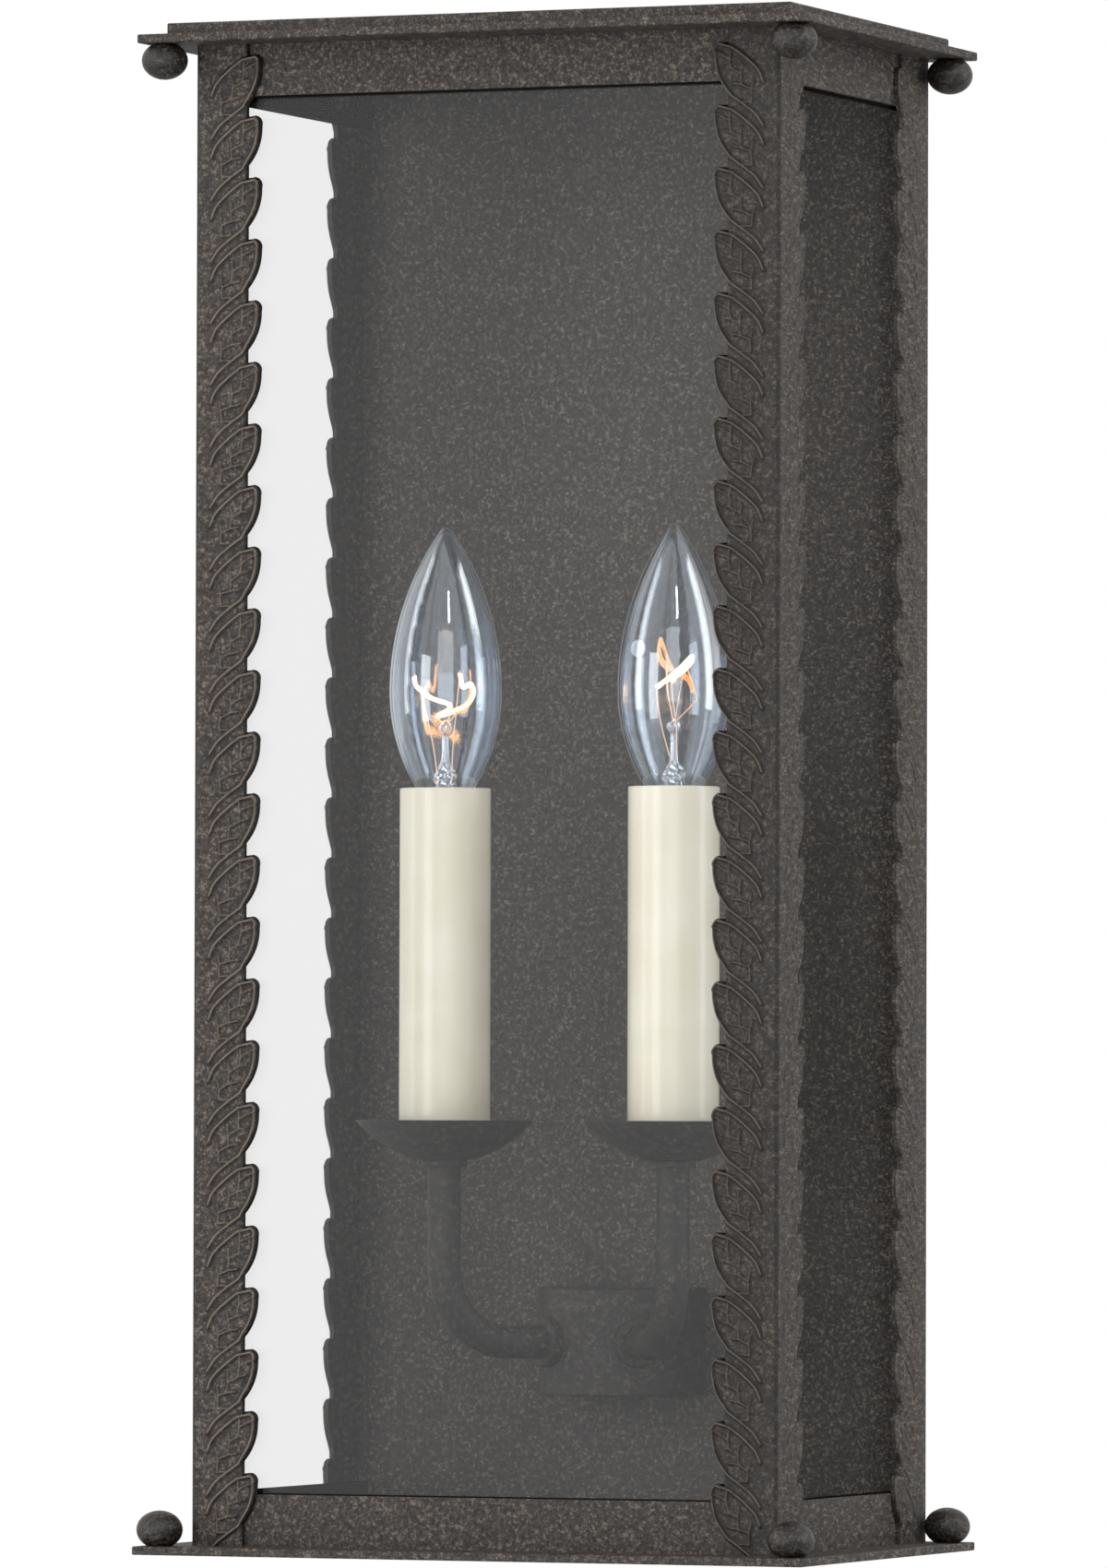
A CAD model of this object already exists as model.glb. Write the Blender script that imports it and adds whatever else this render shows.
"""Outdoor wall sconce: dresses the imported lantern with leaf-cast posts, candle lamps and finishes.

Lengths are metres. +Z is up, -Y faces the viewer, and the wall is the plane Y = 0.
"""

import math

import bmesh
import bpy
import numpy as np
from bpy.props import FloatProperty, FloatVectorProperty, PointerProperty
from bpy.types import Operator, Panel, PropertyGroup
from mathutils import Matrix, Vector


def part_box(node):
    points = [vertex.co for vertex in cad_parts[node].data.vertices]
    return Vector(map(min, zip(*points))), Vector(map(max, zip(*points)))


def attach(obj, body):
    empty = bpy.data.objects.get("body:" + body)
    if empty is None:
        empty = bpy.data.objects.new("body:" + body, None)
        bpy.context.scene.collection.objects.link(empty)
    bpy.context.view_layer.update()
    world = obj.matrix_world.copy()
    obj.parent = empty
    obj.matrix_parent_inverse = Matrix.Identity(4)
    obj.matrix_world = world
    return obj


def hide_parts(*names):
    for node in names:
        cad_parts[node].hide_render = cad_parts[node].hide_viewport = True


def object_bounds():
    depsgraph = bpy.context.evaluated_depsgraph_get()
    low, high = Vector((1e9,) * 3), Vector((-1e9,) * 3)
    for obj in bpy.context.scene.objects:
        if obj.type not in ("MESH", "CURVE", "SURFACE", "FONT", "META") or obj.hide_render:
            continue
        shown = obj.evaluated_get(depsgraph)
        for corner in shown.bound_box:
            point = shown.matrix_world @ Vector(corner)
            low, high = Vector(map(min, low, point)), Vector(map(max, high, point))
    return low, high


bl_info = {
    "name": "Wall Sconce",
    "version": (1, 0, 0),
    "blender": (4, 5, 0),
    "location": "View3D > Sidebar > Sconce",
    "description": "Dresses a packed wall sconce with its leaf posts, candle lamps, glazing and finishes",
    "category": "Object",
}

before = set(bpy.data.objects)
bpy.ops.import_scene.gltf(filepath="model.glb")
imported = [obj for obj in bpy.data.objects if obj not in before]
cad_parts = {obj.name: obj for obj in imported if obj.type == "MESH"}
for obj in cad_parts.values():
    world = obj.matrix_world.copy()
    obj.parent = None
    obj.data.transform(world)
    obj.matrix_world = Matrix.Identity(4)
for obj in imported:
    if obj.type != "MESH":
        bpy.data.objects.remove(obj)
cad_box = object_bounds()

MM = 0.001
HANDS = (("left", -1), ("right", 1))
WELD = 1e-6
# Marks of a plain sheet: millimetres to the nearest bead and to the nearest vein, and tone
PLAIN = (3.0, 3.0, 0.0)
TURN_STEPS = 96
# Angles between faces that stay sharp
CREASE, POST_CREASE = math.radians(40), math.radians(70)

# A leaf's edge from shoulder to foot: shares of its reach, outwards, and of its pitch, down from the tip
LEAF_EDGE = ((0.0, 0.05), (0.55, 0.0), (0.88, 0.045), (1.0, 0.18), (0.8, 0.49), (0.0, 0.81))
# Beads that run from the edge back over the flange: out from the notches, and down from the tip
UPPER_BEAD = np.array([(-10.9, 11.6), (-9.1, 7.9), (-4.8, 4.0), (-1.6, 1.7)]) * MM
LOWER_BEAD = np.array([(-1.2, 15.0), (-4.8, 17.5), (-8.5, 20.4), (-10.9, 23.8)]) * MM
# The leaf's middle line, from its foot to its tip
LEAF_FOOT = np.array((-9.6, 18.2)) * MM
LEAF_TIP = np.array((2.4, 1.2)) * MM
# Width of the strip that carries relief, and the length over which it fades in
LEAF_SPAN = 13.0 * MM
LEAF_FADE = 1.8 * MM
# Heights below a tip that its leaf covers, and the climb of a row past the notches
LEAF_WINDOW = (-3.5 * MM, 28.0 * MM)
LEAF_SLANT = 0.8
VEIN_BENDS = 7
# Widths and heights of a leaf's relief, and how far its rim drops in its last two columns
VEIN_WIDTH, SWELL_WIDTH = 0.38 * MM, 2.6 * MM
SWELL_HEIGHT, GROOVE_DEPTH = 0.2 * MM, 0.2 * MM
RIM_DROP = np.array((0.2, 0.6)) * MM
# Tone of the flanges: below 0 their relief is worn by that share, above 0 their coat is darker
SIDE_TONE, RIGHT_TONE, FOLD_TONE, RIM_TONE, LINING_TONE = -0.85, 0.45, 0.62, 0.9, 0.5
# Rows of a leaf's straight rise, of its two arcs and of the notch, and columns of a flange
RISE_ROWS, ROUND_ROWS, RUN_ROWS, NOTCH_ROWS = 3, 11, 20, 9
PLAIN_COLUMNS, LEAF_COLUMNS, FOLD_COLUMNS = 3, 38, 4

# Relief colours: millimetres from a bead's or a vein's middle over which each band fades in or out
CREST_OUT, RIB_OUT = (0.18, 0.52), (0.12, 0.42)
GROOVE_IN, GROOVE_OUT = (0.40, 0.60), (0.85, 1.40)
HOLLOW_IN, HOLLOW_OUT = (0.35, 0.55), (0.65, 1.0)

# Coats of iron: gain of the ground, gain of the flecks, and roughness
IRON_COATS = {
    "textured_iron": (1.0, 1.0, 0.62),
    "leaf_iron": (1.0, 1.0, 0.62),
    "ball_iron": (0.55, 0.5, 0.4),
    "panel_iron": (0.75, 1.0, 0.62),
    "inner_iron": (0.22, 0.45, 0.62),
}
# Features to the metre of the coat's grain, speckle and mottling, and the grain's scale along each axis
GRAIN, SPECKLE, MOTTLE = 1500, 700, 330
GRAIN_SCALE = (1.0, 0.42, 1.0)
# Reflection of the panes: share seen square on, index that adds to it, colour and roughness
PANE_SHARE, PANE_INDEX = 0.0086, 1.01
PANE_SHINE, PANE_ROUGHNESS = (0.8, 0.8, 0.8), 0.32

# Camera
CAMERA_AZIMUTH = math.radians(22.325)
CAMERA_PITCH = math.radians(1.524)
CAMERA_ROLL = math.radians(0.157)
CAMERA_AIM_OUT = -0.003
CAMERA_DISTANCE = 3.4244
CAMERA_SIDEWAYS = -0.0265
CAMERA_HEIGHT = -0.0858
CAMERA_LENS = 271.75

# Floor, ambient light and lamps: each lamp's name, place, width, height and watts
FLOOR_DROP = 0.4
FLOOR_SIZE = 2.6
AMBIENT = 0.25
LAMP_AIM = (0.0, -0.06, 0.0)
LAMPS = (
    ("front_softbox", (-0.84, -2.16, 0.0), 0.8, 1.3, 19.0),
    ("left_softbox", (-2.15, -1.2, 0.85), 1.0, 2.6, 29.0),
    ("right_softbox", (2.4, 0.35, 0.85), 0.8, 2.6, 35.0),
    ("front_fill", (0.95, -2.5, 0.5), 1.6, 1.6, 18.0),
    ("front_strip", (1.05, -1.85, 1.6), 0.16, 0.6, 12.0),
)


def length(name, description, default):
    """A size that a user would change, in metres."""
    return FloatProperty(
        name=name, description=description, default=default, min=0, unit="LENGTH", precision=5
    )


def tint(name, description, default):
    """A colour that a user would change."""
    return FloatVectorProperty(
        name=name, description=description, default=default, subtype="COLOR", size=3, min=0, max=1
    )


class SconceSizes(PropertyGroup):
    """Sizes of the lantern's details; the main sizes come from the frame"""

    leaf_pitch: length("Leaf pitch", "Height from one leaf to the next", 17.42 * MM)
    leaf_reach: length("Leaf reach", "How far a leaf stands out from the notches", 4.1 * MM)
    leaf_top_front_left: length("First leaf, front left", "Its tip below the roof plate", 2.8 * MM)
    leaf_top_back_left: length("First leaf, back left", "Its tip below the roof plate", 1.6 * MM)
    leaf_top_right: length("First leaf, right", "Its tip below the roof plate", 3.8 * MM)
    bead_height: length("Bead height", "Height of the bead round each leaf", 0.6 * MM)
    bead_width: length("Bead half width", "Half the width of the bead round each leaf", 0.68 * MM)
    vein_height: length("Vein height", "Height of a leaf's veins", 0.5 * MM)
    fold_radius: length("Fold radius", "Outer radius of a post's fold", 1.2 * MM)
    sheet: length("Sheet", "Thickness of the posts", 1.6 * MM)
    arm_diameter: length("Arm diameter", "Outside of the arm tubes", 9.5 * MM)
    arm_bend: length("Arm bend", "Radius of the arms' bend at their middle line", 21.5 * MM)
    pan_sheet: length("Pan sheet", "Thickness of the drip pans", 1.2 * MM)
    sleeve_wall: length("Sleeve wall", "Thickness of the candle sleeves", 1.2 * MM)
    bulb_wall: length("Bulb wall", "Thickness of the bulbs' glass", 0.8 * MM)
    coil_radius: length("Coil radius", "Radius of the filament's coil", 0.48 * MM)
    coil_wire: length("Coil wire", "Radius of the filament's wire", 0.16 * MM)
    lead_wire: length("Lead wire", "Radius of the wires that hold the filament", 0.17 * MM)


class SconceColours(PropertyGroup):
    """Colours of the lantern's finishes"""

    iron: tint("Iron", "Ground colour of the iron", (0.0335, 0.0280, 0.0245))
    fleck: tint("Iron flecks", "Tan flecks in the iron's coat", (0.147, 0.117, 0.093))
    pit: tint("Iron pits", "Dark pits in the iron's coat", (0.010, 0.0085, 0.0075))
    pane: tint("Pane tint", "What a pane's surface lets through", (0.950, 0.951, 0.950))
    bulb: tint("Bulb tint", "What a bulb's surface lets through", (0.93, 0.955, 0.985))
    shine: tint("Bulb shine", "Colour of the bulbs' reflections", (0.90, 0.95, 1.0))
    ivory: tint("Ivory", "Candle sleeves", (0.83, 0.795, 0.665))
    hot: tint("Filament", "Glow of the filament", (1.0, 0.52, 0.16))
    warm: tint("Lead wires", "Warm light on the wires that hold the filament", (1.0, 0.62, 0.38))
    brass: tint("Brass", "Screw caps and shells", (0.62, 0.43, 0.18))
    phenolic: tint("Phenolic", "Lamp holders", (0.022, 0.018, 0.016))
    rubber: tint("Rubber", "Wall seal and grommet", (0.020, 0.020, 0.021))
    insulation: tint("Insulation", "Leads", (0.55, 0.53, 0.48))
    zinc: tint("Zinc", "Nuts, screws and brackets", (0.56, 0.57, 0.58))
    floor: tint("Floor", "Pale floor", (0.80, 0.80, 0.80))


def sizes():
    """The sizes in use."""
    return bpy.context.scene.sconce_sizes


def colours():
    """The colours in use."""
    return bpy.context.scene.sconce_colours


def spot(node):
    """Middle, lowest and highest corner of a CAD node."""
    low, high = (np.array(corner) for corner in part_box(node))
    return (low + high) / 2, low, high


def round_spot(node):
    """Middle, foot, top and radius of an upright round CAD node."""
    middle, low, high = spot(node)
    return middle, low[2], high[2], (high[0] - low[0]) / 2


def linked(name, data):
    """A new object in the scene."""
    made = bpy.data.objects.new(name, data)
    bpy.context.scene.collection.objects.link(made)
    return made


# Shapes on grids


class Shell:
    """Points, marks and faces of one piece, gathered from grids."""

    def __init__(self):
        self.points, self.marks, self.faces = [], [], []
        self.count = 0

    def grid(self, points, close_rows=False, close_columns=False, marks=PLAIN):
        """Adds a grid of points (rows, columns, 3) and its quads, and returns the points' numbers."""
        rows, columns = points.shape[:2]
        numbers = self.count + np.arange(rows * columns).reshape(rows, columns)
        self.count += rows * columns
        self.points.append(points.reshape(-1, 3))
        self.marks.append(np.broadcast_to(marks, (rows, columns, 3)).reshape(-1, 3))
        self.skin(numbers, close_rows, close_columns)
        return numbers

    def skin(self, numbers, close_rows=False, close_columns=False):
        """Adds a quad between each four neighbours in a grid of point numbers."""
        wide = np.concatenate([numbers, numbers[:1]]) if close_rows else numbers
        wide = np.concatenate([wide, wide[:, :1]], axis=1) if close_columns else wide
        quads = np.stack([wide[:-1, :-1], wide[1:, :-1], wide[1:, 1:], wide[:-1, 1:]], axis=-1)
        self.faces += quads.reshape(-1, 4).tolist()

    def cap(self, numbers):
        """Closes an opening with one face."""
        self.faces.append([int(number) for number in numbers])

    def tube(self, points):
        """Adds a tube's rings (rows, columns, 3) and closes both ends."""
        rings = self.grid(points, close_columns=True)
        self.cap(rings[0])
        self.cap(rings[-1])

    def piece(self, name, material, body, slot, *nodes, crease=CREASE):
        """The welded object, with faces outwards, on its body and in place of its CAD nodes."""
        mesh = bpy.data.meshes.new(name)
        mesh.from_pydata(np.concatenate(self.points).tolist(), [], self.faces)
        marks = mesh.attributes.new("marks", "FLOAT_VECTOR", "POINT")
        marks.data.foreach_set("vector", np.concatenate(self.marks).astype(np.float32).ravel())
        solid = bmesh.new()
        solid.from_mesh(mesh)
        bmesh.ops.remove_doubles(solid, verts=solid.verts, dist=WELD)
        bmesh.ops.recalc_face_normals(solid, faces=solid.faces)
        solid.to_mesh(mesh)
        solid.free()
        mesh.shade_smooth()
        mesh.set_sharp_from_angle(angle=crease)
        mesh.materials.append(material)
        made = linked(name, mesh)
        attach(made, body)
        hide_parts(*nodes)


def arc_through(start, middle, end, count):
    """Points on the circle through three points, whose centre lies on both chords' bisectors."""
    a, b, c = (complex(*point) for point in (start, middle, end))
    w = (c - a) / (b - a)
    centre = a + (b - a) * (w - abs(w) ** 2) / (2j * w.imag)
    angles = np.unwrap(np.angle(np.array([a, b, c]) - centre))
    circle = centre + abs(a - centre) * np.exp(1j * np.linspace(angles[0], angles[2], count))
    return np.stack([circle.real, circle.imag], axis=1)


def flowing(points, count):
    """A Catmull-Rom curve: cubics through the points, sloped by each point's two neighbours."""
    points = np.asarray(points, float)
    ends = np.concatenate([2 * points[:1] - points[1:2], points, 2 * points[-1:] - points[-2:-1]])
    place = np.linspace(0, len(points) - 1, count)
    step = np.minimum(place.astype(int), len(points) - 2)
    t = (place - step)[:, None]
    p0, p1, p2, p3 = (ends[step + i] for i in range(4))
    bend = 2 * p0 - 5 * p1 + 4 * p2 - p3
    twist = 3 * (p1 - p2) + p3 - p0
    return 0.5 * (2 * p1 + (p2 - p0) * t + bend * t**2 + twist * t**3)


def nearest(points, line):
    """Distance from each point to a bent line: the least over its stretches, clamped to their ends."""
    start, run = line[:-1], np.diff(line, axis=0)
    gap = points[:, None] - start
    share = np.clip((gap * run).sum(2) / (run**2).sum(1), 0, 1)
    return np.linalg.norm(gap - share[..., None] * run, axis=2).min(1)


def unit(vectors):
    """Vectors at length 1."""
    return vectors / np.linalg.norm(vectors, axis=-1, keepdims=True)


def full_turn(count):
    """Even angles round a circle."""
    return np.linspace(0, 2 * math.pi, count, endpoint=False)


def turned(profile, centre):
    """A profile of (radius, height) carried round an upright axis, x and y by the angle's cos and sin."""
    angle = full_turn(TURN_STEPS)
    radius, height = np.asarray(profile, float).T[:, :, None]
    x = centre[0] + radius * np.cos(angle)
    y = centre[1] + radius * np.sin(angle)
    return np.stack([x, y, np.broadcast_to(height, x.shape)], axis=-1)


def turned_piece(name, profile, centre, closed, *details):
    """A piece turned from a profile; its details are the finish, body, slot and CAD nodes."""
    shell = Shell()
    shell.grid(turned(profile, centre), close_rows=closed, close_columns=True)
    shell.piece(name, *details)


def carried(path, radius, across, sides=24):
    """A circle carried along a path, on two ways square to it, the first of them square to across too."""
    along = unit(np.gradient(path, axis=0))
    side = unit(np.cross(along, across))
    up = np.cross(side, along)
    angle = full_turn(sides)[:, None]
    ring = np.cos(angle) * side[:, None] + np.sin(angle) * up[:, None]
    return path[:, None] + np.reshape(radius, (-1, 1, 1)) * ring


def eased(start, corner, end, radius, count=6):
    """A rounded corner: a quadratic curve from radius before the corner to radius after it."""
    start, corner, end = (np.array(point, float) for point in (start, corner, end))
    t = np.linspace(0, 1, count)[:, None]
    before = corner + radius * unit(start - corner)
    after = corner + radius * unit(end - corner)
    return (1 - t) ** 2 * before + 2 * t * (1 - t) * corner + t**2 * after


def rounded(outline, radius):
    """A closed outline with all its corners eased by one radius or by a radius each."""
    outline = [np.array(point, float) for point in outline]
    radii = np.broadcast_to(radius, len(outline))
    corners = zip(outline[-1:] + outline[:-1], outline, outline[1:] + outline[:1], radii)
    return np.concatenate([eased(*corner) for corner in corners])


# Shader maths


class Wire:
    """An output socket of a node tree. Arithmetic on it adds Math nodes."""

    def __init__(self, socket):
        self.socket = socket

    def maths(self, operation, first, second):
        made = self.socket.id_data.nodes.new("ShaderNodeMath")
        made.operation = operation
        plug(made.inputs[0], first)
        plug(made.inputs[1], second)
        return Wire(made.outputs[0])

    def __add__(self, other):
        return self.maths("ADD", self, other)

    def __radd__(self, other):
        return self.maths("ADD", other, self)

    def __sub__(self, other):
        return self.maths("SUBTRACT", self, other)

    def __rsub__(self, other):
        return self.maths("SUBTRACT", other, self)

    def __mul__(self, other):
        return self.maths("MULTIPLY", self, other)

    def __rmul__(self, other):
        return self.maths("MULTIPLY", other, self)

    def __pow__(self, other):
        return self.maths("POWER", self, other)


def plug(socket, value):
    """Links a wire to a socket, or sets the socket's own value."""
    if isinstance(value, Wire):
        socket.id_data.links.new(value.socket, socket)
    elif socket.type == "RGBA" and len(value) == 3:
        socket.default_value = (*value, 1.0)
    else:
        socket.default_value = value


class Finish:
    """A node tree that is filled node by node."""

    def __init__(self, tree):
        self.tree = tree
        self.tree.nodes.clear()

    def node(self, kind, settings=None, sockets=None, out=0):
        """Adds a node, its settings and a ramp's stops before its sockets, and returns one output."""
        made = self.tree.nodes.new("ShaderNode" + kind)
        for name, value in (settings or {}).items():
            if name == "stops":
                while len(made.color_ramp.elements) < len(value):
                    made.color_ramp.elements.new(1.0)
                for element, (position, colour) in zip(made.color_ramp.elements, value):
                    element.position = position
                    element.color = (*colour, 1.0)
            else:
                setattr(made, name, value)
        for name, value in (sockets or {}).items():
            plug(made.inputs[name], value)
        return Wire(made.outputs[out]) if made.outputs else None

    def place(self):
        """Object coordinates."""
        return self.node("TexCoord", out="Object")

    def noise(self, place, scale, detail=2.0, roughness=0.5):
        """Even noise from 0 to 1, with scale features to the metre."""
        sockets = {"Vector": place, "Scale": scale, "Detail": detail, "Roughness": roughness}
        return self.node("TexNoise", None, sockets)

    def above(self, value, low, high):
        """0 below low, 1 above high and a smooth step between."""
        settings = {"interpolation_type": "SMOOTHSTEP"}
        return self.node("MapRange", settings, {"Value": value, "From Min": low, "From Max": high})

    def vector(self, operation, first, second):
        """Maths on two vectors."""
        return self.node("VectorMath", {"operation": operation}, {0: first, 1: second})

    def mix(self, share, first, second):
        """A colour between two."""
        return self.node("Mix", {"data_type": "RGBA"}, {0: share, 6: first, 7: second}, out=2)

    def bump(self, height, distance):
        """A normal that follows a height."""
        return self.node("Bump", None, {"Height": height, "Distance": distance})

    def surface(self, shader):
        """Ends the tree in its material's output."""
        self.node("OutputMaterial", None, {"Surface": shader})

    def principled(self, sockets):
        """Ends the tree in a Principled shader."""
        self.surface(self.node("BsdfPrincipled", None, sockets))


def scaled(colour, gain):
    """A colour with its channels times a gain each, or all times one."""
    return tuple(np.array(colour) * gain)


def finish(name, fill):
    """The material of that name, filled on first use."""
    material = bpy.data.materials.get("finish_" + name)
    if material is None:
        material = bpy.data.materials.new("finish_" + name)
        material.use_nodes = True
        fill(Finish(material.node_tree))
    return material


def finished(name):
    """Turns a function that fills a tree into one that gives the finish of that name."""
    return lambda fill: lambda: finish(name, fill)


def iron_coat(tree, ground, flecks, roughness, relief):
    """Sand-textured coat: dense grain from dark pits to tan flecks, with slow mottling.

    The grain is drawn out along the depth. ground and flecks scale the coat's dark and light parts, and
    relief colours the cast leaves by their marks.
    """
    shade = colours()
    place = tree.vector("MULTIPLY", tree.place(), GRAIN_SCALE)
    grain = tree.noise(place, GRAIN, 3.0, 0.65)
    speckle = tree.noise(tree.vector("ADD", place, (3.1, 1.7, 5.3)), SPECKLE)
    mottle = tree.noise(place, MOTTLE, 3.0)
    blend = grain + 0.55 * (speckle - 0.5) + 0.16 * (mottle - 0.5)
    stops = (
        (0.38, scaled(shade.pit, ground)),
        (0.47, scaled(shade.iron, ground)),
        (0.56, scaled(shade.iron, 1.25 * ground)),
        (0.66, scaled(shade.fleck, flecks)),
    )
    colour = tree.node("ValToRGB", {"stops": stops}, {0: blend})
    height = grain + 0.7 * speckle + 0.3 * mottle
    if relief:
        marks = tree.node("Attribute", {"attribute_name": "marks"}, out="Vector")
        bead, vein, tone = (tree.node("SeparateXYZ", None, {0: marks}, out=axis) for axis in "XYZ")
        fresh = 1 + tree.node("Math", {"operation": "MINIMUM"}, {0: tone, 1: 0.0})
        crest = fresh * (1 - tree.above(bead, *CREST_OUT))
        rib = fresh * (1 - tree.above(vein, *RIB_OUT))
        groove = fresh * tree.above(bead, *GROOVE_IN) * (1 - tree.above(bead, *GROOVE_OUT))
        hollow = fresh * tree.above(vein, *HOLLOW_IN) * (1 - tree.above(vein, *HOLLOW_OUT))
        colour = tree.mix(0.75 * groove, colour, tuple(shade.pit))
        colour = tree.mix(0.45 * hollow, colour, tuple(shade.pit))
        colour = tree.mix(0.75 * crest + 0.45 * rib, colour, scaled(shade.fleck, 1.25))
        colour = tree.mix(tree.above(tone, 0.0, 1.0), colour, scaled(shade.pit, 0.4))
        height = height + 2.0 * crest + 1.2 * rib
    tree.principled({
        "Base Color": colour,
        "Roughness": roughness + 0.3 * (grain - 0.5),
        "Normal": tree.bump(height, 0.20 * MM),
        "Specular IOR Level": 0.3,
    })


def iron(name):
    """One of the iron finishes; that of the leaf posts has their relief."""
    return finish(name, lambda tree: iron_coat(tree, *IRON_COATS[name], relief=name == "leaf_iron"))


def clear_glass(tree, passes, shine, share, roughness):
    """Clear glass: light passes straight through, but for the reflected share."""
    through = tree.node("BsdfTransparent", None, {"Color": passes})
    reflected = tree.node("BsdfGlossy", None, {"Color": shine, "Roughness": roughness})
    return tree.node("MixShader", None, {0: share, 1: through, 2: reflected})


@finished("pane_glass")
def pane_glass(tree):
    """Window panes, with a dark line of putty along their rails."""
    share = PANE_SHARE + tree.node("Fresnel", None, {"IOR": PANE_INDEX})
    clear = clear_glass(tree, tuple(colours().pane), PANE_SHINE, share, PANE_ROUGHNESS)
    height = tree.node("SeparateXYZ", None, {0: tree.place()}, out="Z")
    top = float(spot("rail_top_front")[1][2])
    bottom = float(spot("rail_bottom_front")[2][2])
    over = tree.above(height, top - 0.8 * MM, top - 0.6 * MM)
    under = tree.above(-1 * height, -bottom - 0.5 * MM, -bottom - 0.3 * MM)
    putty = tree.node("BsdfDiffuse", None, {"Color": tuple(colours().pit)})
    tree.surface(tree.node("MixShader", None, {0: over + under, 1: clear, 2: putty}))


@finished("bulb_glass")
def bulb_glass(tree):
    """Thin blown glass of the bulbs."""
    edge = tree.node("LayerWeight", None, {"Blend": 0.5}, out="Facing")
    rim = tree.above(edge, 0.72, 0.93)
    share = 0.060 + 0.52 * edge**1.7 + 0.35 * rim
    passes, shine = tuple(colours().bulb), tuple(colours().shine)
    tree.surface(clear_glass(tree, passes, shine, share, 0.03 + 0.4 * rim))


@finished("stem_glass")
def stem_glass(tree):
    """Thick pressed glass of the stems."""
    edge = tree.node("LayerWeight", None, {"Blend": 0.5}, out="Facing")
    share = 0.26 + 0.65 * edge**1.2
    tree.surface(clear_glass(tree, (0.86, 0.86, 0.86), tuple(colours().shine), share, 0.03))


@finished("sleeve_ivory")
def ivory(tree):
    """Smooth moulded sleeves, a little uneven in tone."""
    base = tuple(colours().ivory)
    place = tree.place()
    slow = tree.noise(place, 45, 3.0)
    fine = tree.noise(place, 700)
    tree.principled({
        "Base Color": tree.mix(tree.above(slow, 0.35, 0.7), base, scaled(base, (0.93, 0.91, 0.86))),
        "Roughness": 0.30 + 0.14 * fine,
        "Normal": tree.bump(fine, 0.02 * MM),
        "Coat Weight": 0.25,
        "Coat Roughness": 0.12,
    })


@finished("floor")
def floor_paint(tree):
    """Plain matt paint of the stage's floor."""
    tree.principled({"Base Color": tuple(colours().floor), "Roughness": 0.9})


def glow(name, colour, strength):
    """A glowing wire: hotter in patches along it."""

    def fill(tree):
        patches = tree.noise(tree.place(), 260, 1.0)
        pale = tuple(0.25 + 0.75 * channel for channel in colour)
        tree.principled({
            "Base Color": colour,
            "Emission Color": tree.mix(tree.above(patches, 0.4, 0.65), colour, pale),
            "Emission Strength": strength,
            "Roughness": 0.4,
        })

    return finish(name, fill)


def bare_metal(name, colour, rough):
    """Bare or plated metal: fine brushed grain, dulled in patches."""

    def fill(tree):
        place = tree.place()
        fine = tree.noise(place, 900, 3.0)
        dull = tree.noise(place, 90, 3.0)
        tree.principled({
            "Base Color": tree.mix(tree.above(dull, 0.4, 0.7), colour, scaled(colour, 0.72)),
            "Metallic": 1.0,
            "Roughness": rough + 0.2 * (fine - 0.5) + 0.15 * dull,
            "Normal": tree.bump(fine, 0.03 * MM),
        })

    return finish(name, fill)


def moulded(name, colour, rough, grain, depth):
    """Moulded or foamed stuff: speckled in tone, with a pebbled surface."""

    def fill(tree):
        place = tree.place()
        pebble = tree.noise(place, grain, 3.0)
        slow = tree.noise(place, 60, 3.0)
        pale = tuple(min(1.0, 1.5 * channel) for channel in colour)
        tree.principled({
            "Base Color": tree.mix(tree.above(slow + 0.4 * pebble, 0.5, 0.9), colour, pale),
            "Roughness": rough + 0.2 * (pebble - 0.5),
            "Normal": tree.bump(pebble, depth),
        })

    return finish(name, fill)


def brass():
    """Brass of the screw caps, shells and contacts."""
    return bare_metal("brass", tuple(colours().brass), 0.24)


def dress(material, *nodes):
    """Gives CAD nodes a finish in place of their plain one."""
    for name in nodes:
        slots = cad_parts[name].data.materials
        slots.clear()
        slots.append(material)


def both(*names):
    """Left and right node of each name."""
    return [f"{name}_{hand}" for name in names for hand, side in HANDS]


# Leaf posts

LEAF_ALONG = LEAF_TIP - LEAF_FOOT
LEAF_ACROSS = unit(np.array([LEAF_ALONG[1], -LEAF_ALONG[0]]))


def leaf_edge():
    """One leaf's edge from shoulder to foot: a straight rise, an arc round the belly and an arc down."""
    scale = np.array([sizes().leaf_reach, sizes().leaf_pitch])
    shoulder, point, bend, belly, flank, foot = np.array(LEAF_EDGE) * scale
    rise = np.linspace(shoulder, point, RISE_ROWS, endpoint=False)
    over = arc_through(point, bend, belly, ROUND_ROWS)[:-1]
    return np.concatenate([rise, over, arc_through(belly, flank, foot, RUN_ROWS)])


def leaf_tips(top, bottom, margin):
    """Heights of the tips down a post, from margin below its top: as many whole leaves as fit."""
    count = int((top - bottom - margin) / sizes().leaf_pitch)
    return top - margin - sizes().leaf_pitch * np.arange(count)


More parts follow.
